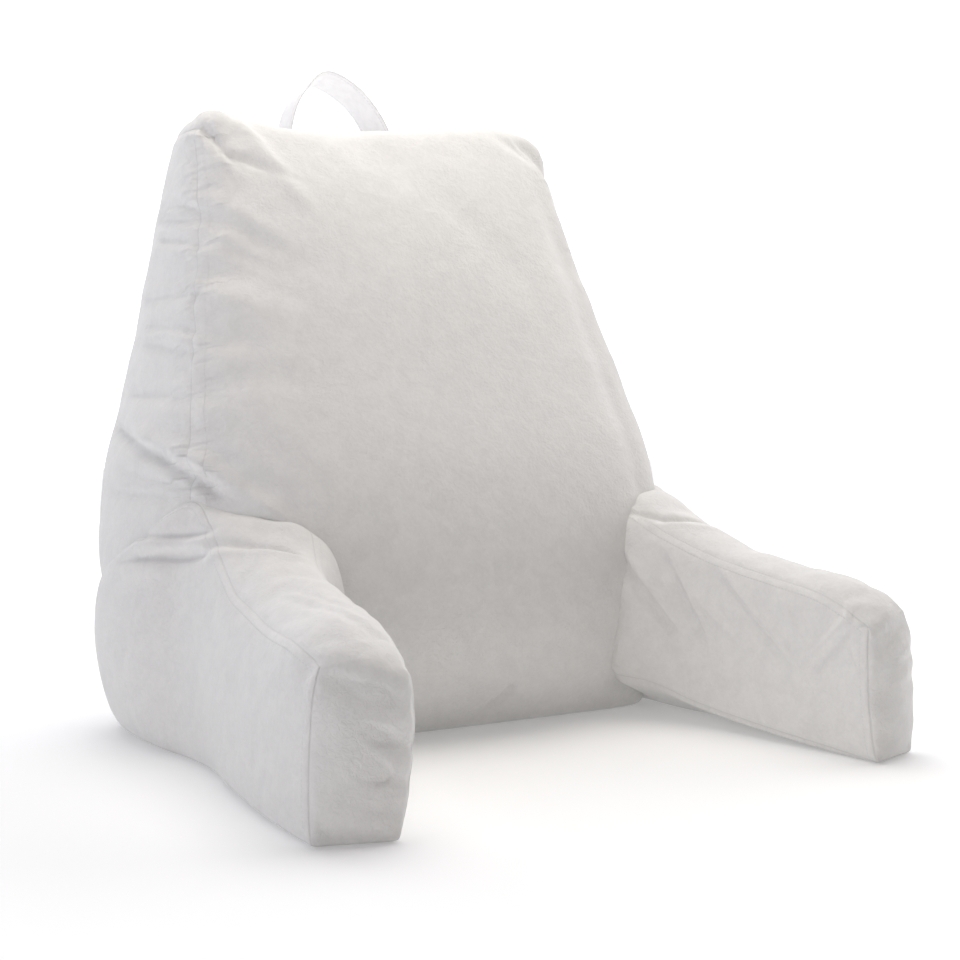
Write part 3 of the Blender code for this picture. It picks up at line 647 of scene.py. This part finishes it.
# The left arm is less even: both its top seams have sunk towards the root, and the inner panel bulges.
LEFT_ARM_COLUMNS = ("y", "inner_sink", "outer_sink", "bulge")
LEFT_ARM_ROWS = (
    (-0.375, 0.000, 0.002, 0.000),
    (-0.300, 0.000, 0.005, 0.000),
    (-0.230, 0.002, 0.009, 0.000),
    (-0.204, 0.005, 0.012, 0.000),
    (-0.190, 0.006, 0.012, 0.000),
    (-0.174, 0.005, 0.012, 0.008),
    (-0.160, 0.004, 0.012, 0.018),
    (-0.130, 0.007, 0.007, 0.020),
    (-0.100, 0.007, 0.000, 0.014),
)
LEFT_ARM_FOLDS = (
    (-0.2425, -0.061, 0.165, -0.2215, -0.124, 0.172, 0.004, 0.004),   # folds where the arm's panels gather
    (-0.243, -0.058, 0.159, -0.225, -0.126, 0.165, 0.004, -0.002),
    (-0.250, -0.034, 0.143, -0.248, -0.061, 0.1495, 0.004, 0.004),
    (-0.248, -0.061, 0.1495, -0.225, -0.133, 0.156, 0.004, 0.005),
    (-0.250, -0.030, 0.133, -0.244, -0.083, 0.143, 0.006, -0.002),
    (-0.220, -0.1445, 0.163, -0.181, -0.188, 0.1605, 0.004, 0.003),  # across the strip
    (-0.224, -0.153, 0.157, -0.183, -0.197, 0.157, 0.005, -0.002),
    (-0.224, -0.270, 0.143, -0.209, -0.345, 0.131, 0.005, 0.0015),
    (-0.212, -0.262, 0.147, -0.198, -0.330, 0.136, 0.005, 0.0015),
    (-0.248, -0.366, 0.106, -0.234, -0.379, 0.099, 0.008, 0.003),  # puckers on the end panel
    (-0.207, -0.388, 0.087, -0.194, -0.380, 0.080, 0.005, 0.002),
    (-0.209, -0.390, 0.064, -0.195, -0.382, 0.057, 0.005, 0.002),
    (-0.210, -0.388, 0.042, -0.197, -0.381, 0.036, 0.005, 0.002),
)
RIGHT_ARM_FOLDS = (
    (0.158, -0.150, 0.188, 0.152, -0.182, 0.162, 0.004, 0.002),    # the inner seam's dip at the root
    (0.158, -0.165, 0.176, 0.172, -0.178, 0.172, 0.004, 0.004),    # crease across the root
    (0.172, -0.178, 0.172, 0.200, -0.181, 0.169, 0.005, 0.005),
    (0.162, -0.180, 0.168, 0.190, -0.198, 0.162, 0.006, -0.002),
    (0.140, -0.170, 0.136, 0.157, -0.204, 0.092, 0.004, -0.003),   # soft drags down the inner panel
    (0.139, -0.164, 0.130, 0.154, -0.196, 0.090, 0.005, 0.005),
    (0.159, -0.207, 0.133, 0.165, -0.234, 0.087, 0.004, -0.003),
    (0.157, -0.200, 0.130, 0.163, -0.227, 0.086, 0.005, 0.005),
    (0.163, -0.224, 0.112, 0.173, -0.272, 0.077, 0.004, -0.002),
    (0.173, -0.260, 0.125, 0.179, -0.312, 0.083, 0.004, -0.003),
    (0.173, -0.253, 0.121, 0.178, -0.304, 0.079, 0.005, 0.003),
    (0.179, -0.316, 0.111, 0.180, -0.329, 0.092, 0.004, -0.002),
    (0.183, -0.345, 0.078, 0.188, -0.364, 0.098, 0.004, -0.003),
    (0.185, -0.352, 0.076, 0.190, -0.371, 0.095, 0.005, 0.002),
    (0.240, -0.372, 0.104, 0.222, -0.386, 0.098, 0.009, 0.003),    # puckers on the end panel
    (0.246, -0.380, 0.078, 0.232, -0.388, 0.074, 0.005, 0.001),
    (0.247, -0.380, 0.060, 0.233, -0.388, 0.056, 0.005, 0.001),
)


def cushion_side_x(y, z):
    """How far out the cushion's side lies at a place on it."""
    front_y = smooth_table(CUSHION_ROWS, CUSHION_COLUMNS, "front_y", z)
    back_y = smooth_table(CUSHION_ROWS, CUSHION_COLUMNS, "back_y", z)
    back_share = np.clip((y - front_y) / (back_y - front_y), 0, 1)
    front_half = smooth_table(CUSHION_ROWS, CUSHION_COLUMNS, "front_half_width", z)
    back_half = smooth_table(CUSHION_ROWS, CUSHION_COLUMNS, "back_half_width", z)
    crown = smooth_table(CUSHION_ROWS, CUSHION_COLUMNS, "side_crown", z)
    crown = crown * swell(2 * back_share - 1, CROWN_POWER)
    return front_half * (1 - back_share) + back_half * back_share + crown


def arm_section(name, station):
    """One of the arm's columns at a station: from the arm's table in front of the root, and behind it
    from the flank's, whose top edge follows the cushion's side."""
    front = smooth_table(ARM_ROWS, ARM_COLUMNS, name, station)
    if name in ("inner_crown", "top_crown"):
        behind = front
    elif name in ("inner_top_x", "inner_foot_x"):
        behind = np.full_like(station, FLANK_INNER_X)
    elif name == "outer_top_x":
        top = smooth_table(FLANK_ROWS, FLANK_COLUMNS, "top", station)
        proud = smooth_table(FLANK_ROWS, FLANK_COLUMNS, "proud", station)
        behind = cushion_side_x(station, top) + proud
    else:
        flank_name = {
            "outer_foot_x": "foot_x",
            "inner_top": "top",
            "outer_top": "top",
            "inner_lift": "lift",
            "outer_crown": "crown",
        }[name]
        behind = smooth_table(FLANK_ROWS, FLANK_COLUMNS, flank_name, station)
    return np.where(station < ARM_ROWS[-1][0], front, behind)


def arm_surface(place, side):
    """One arm's surface, from its place (across, along, up) on the box: across from the inner to the
    outer face, along from the free end to where it thins out over the cushion's side, up from the floor.

    Each station along y is a four-cornered section of seams. Its panels swell out by their crowns, and
    the underside is flat on the floor but for its rounded rim.
    """
    across, up = crowd_to_seams(place[:, 0]), crowd_to_seams(place[:, 2])
    along = 2 * ((place[:, 1] + 1) / 2) ** ARM_CELL_CROWDING - 1
    first = ARM_ROWS[0][0]
    last = FLANK_ROWS[-1][0]
    station = first + (last - first) * ((along + 1) / 2) ** ARM_STATION_CROWDING
    outer_share = (across + 1) / 2
    top_share = (up + 1) / 2
    inner_x = arm_section("inner_foot_x", station) * (1 - top_share)
    inner_x = inner_x + arm_section("inner_top_x", station) * top_share
    outer_x = arm_section("outer_foot_x", station) * (1 - top_share)
    outer_x = outer_x + arm_section("outer_top_x", station) * top_share
    x = inner_x * (1 - outer_share) + outer_x * outer_share
    y = station - ARM_END_SKEW * (1 - outer_share) * np.clip(-along, 0, 1)
    y = y - FLANK_TOE_IN * (1 - top_share) * np.clip(along, 0, 1) ** 4

    in_width = swell(across, CROWN_POWER)
    in_height = swell(up, ARM_SIDE_CROWN_POWER)
    rim = ARM_RIM * (1 - np.clip(2.5 * np.minimum(in_width, swell(along, CROWN_POWER)), 0, 1))
    bottom = np.clip(arm_section("inner_lift", station) * (1 - outer_share) + rim - ARM_SETTLE, 0, None)
    inner_top = arm_section("inner_top", station)
    outer_top = arm_section("outer_top", station)
    inner_crown = arm_section("inner_crown", station)
    if side < 0:
        inner_top = inner_top - smooth_table(LEFT_ARM_ROWS, LEFT_ARM_COLUMNS, "inner_sink", station)
        outer_top = outer_top - smooth_table(LEFT_ARM_ROWS, LEFT_ARM_COLUMNS, "outer_sink", station)
        inner_crown = inner_crown + smooth_table(LEFT_ARM_ROWS, LEFT_ARM_COLUMNS, "bulge", station)
    top = inner_top * (1 - outer_share) + outer_top * outer_share
    z = bottom * (1 - top_share) + top * top_share
    x = x + arm_section("outer_crown", station) * np.clip(across, 0, 1) ** ARM_FACE_POWER * in_height
    x = x - inner_crown * np.clip(-across, 0, 1) ** ARM_FACE_POWER * in_height
    z = z + arm_section("top_crown", station) * np.clip(up, 0, 1) ** ARM_FACE_POWER * in_width
    y = y - ARM_END_CROWN * np.clip(-along, 0, 1) ** ARM_END_POWER * in_width * in_height
    return np.column_stack((side * x, y, z))


def off_cushion(piece):
    """How far each of a piece's points lies from the cushion's surface."""
    wrap = piece.modifiers.new("nearest", "SHRINKWRAP")
    wrap.target = cushion
    wrap.wrap_method = "NEAREST_SURFACEPOINT"
    nearest = read_points(piece.evaluated_get(bpy.context.evaluated_depsgraph_get()).data)
    piece.modifiers.clear()
    return np.linalg.norm(nearest - read_points(piece.data), axis=1)


for name, side, folds in (("arm_left", -1, LEFT_ARM_FOLDS), ("arm_right", 1, RIGHT_ARM_FOLDS)):
    place, faces = box_skin(ARM_CELLS)
    arm = add_piece(name + "_cover", place, arm_surface(place, side), faces[:, ::side])
    across, along, up = place.T
    # The strip turns down at the end without a seam, so it is round there.
    unsewn = np.clip(1 - 3 * (1 - up), 0, 1) * np.clip(1 - 5 * (along + 1), 0, 1)
    soften(arm.data, 0.5 * unsewn * np.clip(4 * (1 - np.abs(across)), 0, 1), times=16)
    soften(arm.data, 0.5 * (up > -0.9), times=4)
    at_side = np.abs(across) > 1 - SAME_PLACE
    pinned = at_side & ((up > 1 - SAME_PLACE) | (along < -1 + SAME_PLACE)) | (up < -1 + SAME_PLACE)
    crumple(arm, pinned, extra=ARM_EXTRA, share=0.2 + 0.4 * ~at_side, seed=ARM_SEED)
    split_once(arm)
    split_once(arm)
    press_folds(arm.data, folds)
    sew(arm.data, plain=({0: -1, 2: -1}, {0: 1, 2: -1}, {1: -1, 2: -1}),
        felled=({0: -1, 2: 1}, {0: 1, 2: 1}, {0: -1, 1: -1}, {0: 1, 1: -1}), joined=off_cushion(arm))
    arm.data.materials.append(plush)
    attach(arm, "root")
    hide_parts(name)

# ---- Carry strap ----------------------------------------------------------------------------------
# A flat strap of plain white cloth, folded double to 32 mm and sewn into the rear top seam by both
# ends. It stands up in a loop and leans forwards at the top.
STRAP_WIDTH = 0.032
STRAP_THICKNESS = 0.003      # two layers of folded cloth
STRAP_EDGE_THINNING = 0.7    # its folded edges are pressed thinner by this share
STRAP_COLUMNS = ("along", "x", "y", "z", "lean", "turn")
STRAP_ROWS = (
    (0.00, -0.049, 0.108, 0.494, 0.0, 0.0),
    (0.18, -0.046, 0.110, 0.525, 0.0, 0.0),
    (0.36, -0.033, 0.111, 0.553, 6.0, 0.0),
    (0.50, -0.012, 0.111, 0.570, 18.0, 5.0),
    (0.64, 0.014, 0.111, 0.562, 18.0, 12.0),
    (0.82, 0.041, 0.110, 0.536, 7.0, 20.0),
    (1.00, 0.060, 0.108, 0.494, 0.0, 28.0),
)
STRAP_CELLS = (14, 90, 2)    # grid cells across, along, and through
STRAP_STEP = 0.002           # a share of the length, over which the arch's direction is measured
STRAP_LENGTH = 0.180         # the arch's own length between its two seams
STRAP_THREAD = 0.0006        # from one thread to the next, as drawn
STRAP_STITCH = 0.0030        # one stitch and its gap along an edge
STRAP_STITCH_FROM_EDGE = 0.003
STRAP_STITCH_LINE = 0.0008   # half the width of a row of stitches
STRAP_THREAD_DEPTH = 0.00003
STRAP_UNEVENNESS = 0.00015   # the depth of its small dents
STRAP_STITCH_DEPTH = 0.0001


def strap_surface(place):
    """The strap's surface: an arch through its rows, with its width lying front to back, leaned and
    turned by the angles of each row."""
    across, through = place[:, 0], place[:, 2]
    share = (place[:, 1] + 1) / 2

    def row(name, at=share):
        return smooth_table(STRAP_ROWS, STRAP_COLUMNS, name, at)

    ahead = np.clip(share + STRAP_STEP, 0, 1)
    behind = np.clip(share - STRAP_STEP, 0, 1)
    run_x = row("x", ahead) - row("x", behind)
    run_z = row("z", ahead) - row("z", behind)
    run = np.column_stack((run_x, np.zeros_like(run_x), run_z))
    run /= np.linalg.norm(run, axis=1)[:, None]
    lean = np.radians(row("lean"))
    turn = np.radians(row("turn"))
    width = np.column_stack((-np.sin(turn) * np.cos(lean), np.cos(turn) * np.cos(lean), -np.sin(lean)))
    width -= run * np.sum(width * run, axis=1)[:, None]
    width /= np.linalg.norm(width, axis=1)[:, None]
    middle = np.column_stack((row("x"), row("y"), row("z")))
    half_thickness = STRAP_THICKNESS / 2 * (1 - STRAP_EDGE_THINNING * np.abs(across) ** 10)
    return (
        middle
        + width * (across * STRAP_WIDTH / 2)[:, None]
        + np.cross(width, run) * (through * half_thickness)[:, None]
    )


place, faces = box_skin(STRAP_CELLS)
strap = add_piece("carry_strap", place, strap_surface(place), faces)
keep_on_points(strap.data, "strap_across", place[:, 0] * STRAP_WIDTH / 2)
keep_on_points(strap.data, "strap_along", (place[:, 1] + 1) / 2 * STRAP_LENGTH)


def strap_material(name, colour, shade):
    """Plain-woven white polyester, folded double, with a row of stitches near each edge. Its threads,
    a quarter of a millimetre apart, are drawn 0.6 mm apart, because finer ones wouldn't show."""
    made = bpy.data.materials.new(name)
    made.use_nodes = True
    tree = made.node_tree
    shader = tree.nodes["Principled BSDF"]
    shader.inputs["Roughness"].default_value = 0.8
    shader.inputs["Sheen Weight"].default_value = 0.15
    shader.inputs["Sheen Roughness"].default_value = 0.5
    across = add_node(tree, ATTRIBUTE, {"attribute_name": "strap_across"}, output="Fac")
    along = add_node(tree, ATTRIBUTE, {"attribute_name": "strap_along"}, output="Fac")
    where = add_node(tree, "ShaderNodeTexCoord", {}, output="Object")
    uneven = add_node(tree, NOISE, {}, Vector=where, Scale=160.0, Detail=2.0)

    warp = add_node(tree, MATH, SINE, add_node(tree, MATH, TIMES, across, np.pi / STRAP_THREAD))
    weft = add_node(tree, MATH, SINE, add_node(tree, MATH, TIMES, along, np.pi / STRAP_THREAD))
    weave = add_node(tree, MATH, TIMES, warp, weft)
    from_middle = add_node(tree, MATH, SIZE_OF, across)
    from_row = add_node(tree, MATH, MINUS, from_middle, STRAP_WIDTH / 2 - STRAP_STITCH_FROM_EDGE)
    from_row = add_node(tree, MATH, SIZE_OF, from_row)
    row = add_node(tree, RANGE, SOFT, from_row, 0.0, STRAP_STITCH_LINE, 1.0, 0.0)
    dashes = add_node(tree, MATH, SINE, add_node(tree, MATH, TIMES, along, 2 * np.pi / STRAP_STITCH))
    stitches = add_node(tree, MATH, TIMES, row, add_node(tree, RANGE, SOFT, dashes, -0.9, 0.2, 0.3, 1.0))
    height = add_node(tree, MATH, TIMES, weave, STRAP_THREAD_DEPTH)
    height = add_node(tree, MATH, TIMES_PLUS, uneven, STRAP_UNEVENNESS, height)
    height = add_node(tree, MATH, TIMES_PLUS, stitches, -STRAP_STITCH_DEPTH, height)
    bump = add_node(tree, "ShaderNodeBump", {}, Strength=1.0, Distance=1.0, Height=height)
    tree.links.new(bump, shader.inputs["Normal"])
    tone = add_node(tree, RANGE, SOFT, uneven, 0.3, 0.7, 0.3, 0.0)
    # The stitches are darkened as well as sunk: painted shade in their dimples.
    tone = add_node(tree, MATH, LARGER, tone, stitches)
    mixed = add_node(tree, "ShaderNodeMix", {"data_type": "RGBA"}, tone, output=2,
                     _6=linear(colour), _7=linear(shade))
    tree.links.new(mixed, shader.inputs["Base Color"])
    return made


strap.data.materials.append(strap_material("woven_strap_cloth", "#fbfbfc", "#e6e6ea"))
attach(strap, "root")
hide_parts("carry_handle")

# ---- Floor, light and camera ----------------------------------------------------------------------
# A white studio floor that glows, weakly near the pillow and more away from it: painted light, not a
# lamp. A broad soft lamp overhead with smaller ones close above and on both sides, and a paler glow all
# round.
mesh = bpy.data.meshes.new("floor")
mesh.from_pydata([(-6, -6, 0), (6, -6, 0), (6, 6, 0), (-6, 6, 0)], [], [(0, 1, 2, 3)])
floor = bpy.data.objects.new("floor", mesh)
bpy.context.scene.collection.objects.link(floor)
floor_paint = bpy.data.materials.new("matt_white_glowing_floor")
floor_paint.use_nodes = True
tree = floor_paint.node_tree
paint = tree.nodes["Principled BSDF"]
paint.inputs["Base Color"].default_value = linear("#f4f4f4")
paint.inputs["Roughness"].default_value = 0.9
paint.inputs["Emission Color"].default_value = (1, 1, 1, 1)
where = add_node(tree, "ShaderNodeTexCoord", {}, output="Object")
away = add_node(tree, "ShaderNodeVectorMath", {"operation": "LENGTH"}, where, output="Value")
# The floor's glow is painted light: weak within 0.45 m of the pillow, rising to full beyond 1.6 m.
floor_glow = add_node(tree, RANGE, SOFT, away, 0.45, 1.6, 0.16, 0.66)
tree.links.new(floor_glow, paint.inputs["Emission Strength"])
mesh.materials.append(floor_paint)

world = bpy.data.worlds.new("studio")
bpy.context.scene.world = world
world.use_nodes = True
tree = world.node_tree
direction = add_node(tree, "ShaderNodeTexCoord", {}, output="Generated")
glow = (0.0, 0.0, 0.0, 1.0)
for towards, narrowness, colour in (
    ((-0.69, -0.69, 0.20), 4, (0.10, 0.05, 0.05)),
    ((-0.97, -0.19, 0.15), 3, (0.78, 0.79, 0.72)),
    ((0.52, 0.85, 0.10), 2, (1.64, 1.70, 1.85)),
):
    facing = add_node(tree, "ShaderNodeVectorMath", {"operation": "DOT_PRODUCT"}, direction, towards,
                      output="Value")
    above = add_node(tree, MATH, LARGER, facing, 0.0)
    lobe = add_node(tree, MATH, {"operation": "POWER"}, above, narrowness)
    tinted = add_node(tree, "ShaderNodeMix", {"data_type": "RGBA", "blend_type": "MULTIPLY"}, 1.0,
                      output=2, _6=lobe, _7=(*colour, 1.0))
    glow = add_node(tree, "ShaderNodeMix", {"data_type": "RGBA", "blend_type": "ADD"}, 1.0, output=2,
                    _6=glow, _7=tinted)
tree.links.new(glow, tree.nodes["Background"].inputs["Color"])

for name, spot, aim, size, power, colour in (
    ("overhead", (0.2, 0.5, 2.6), (0, 0, 0.2), 2.6, 44.3, (1.0, 0.972, 0.949)),
    ("top_softbox", (0.0, -0.15, 0.95), (0, 0, 0.3), 0.6, 1.76, (1.0, 0.955, 0.886)),
    ("right_side", (1.8, -0.3, 0.8), (0, 0, 0.2), 1.5, 11.6, (1.0, 0.969, 0.948)),
    ("left_side", (-1.8, -0.2, 0.9), (0, 0, 0.2), 1.5, 3.2, (0.48, 0.55, 1.0)),
):
    lamp = bpy.data.lights.new(name, "AREA")
    lamp.size = size
    lamp.energy = power
    lamp.color = colour
    lamp_object = bpy.data.objects.new(name, lamp)
    lamp_object.location = spot
    lamp_object.rotation_euler = (Vector(aim) - Vector(spot)).to_track_quat("-Z", "Y").to_euler()
    bpy.context.scene.collection.objects.link(lamp_object)

lens = bpy.data.cameras.new("camera")
lens.lens = 58.7
lens.sensor_width = 36.0
camera = bpy.data.objects.new("camera", lens)
camera.location = (-0.653, -1.217, 0.260)
aim = Vector((0.381, 0.464, 0.1765)) - camera.location
camera.rotation_euler = aim.to_track_quat("-Z", "Y").to_euler()
bpy.context.scene.collection.objects.link(camera)
bpy.context.scene.camera = camera
bpy.context.scene.view_settings.view_transform = "Standard"
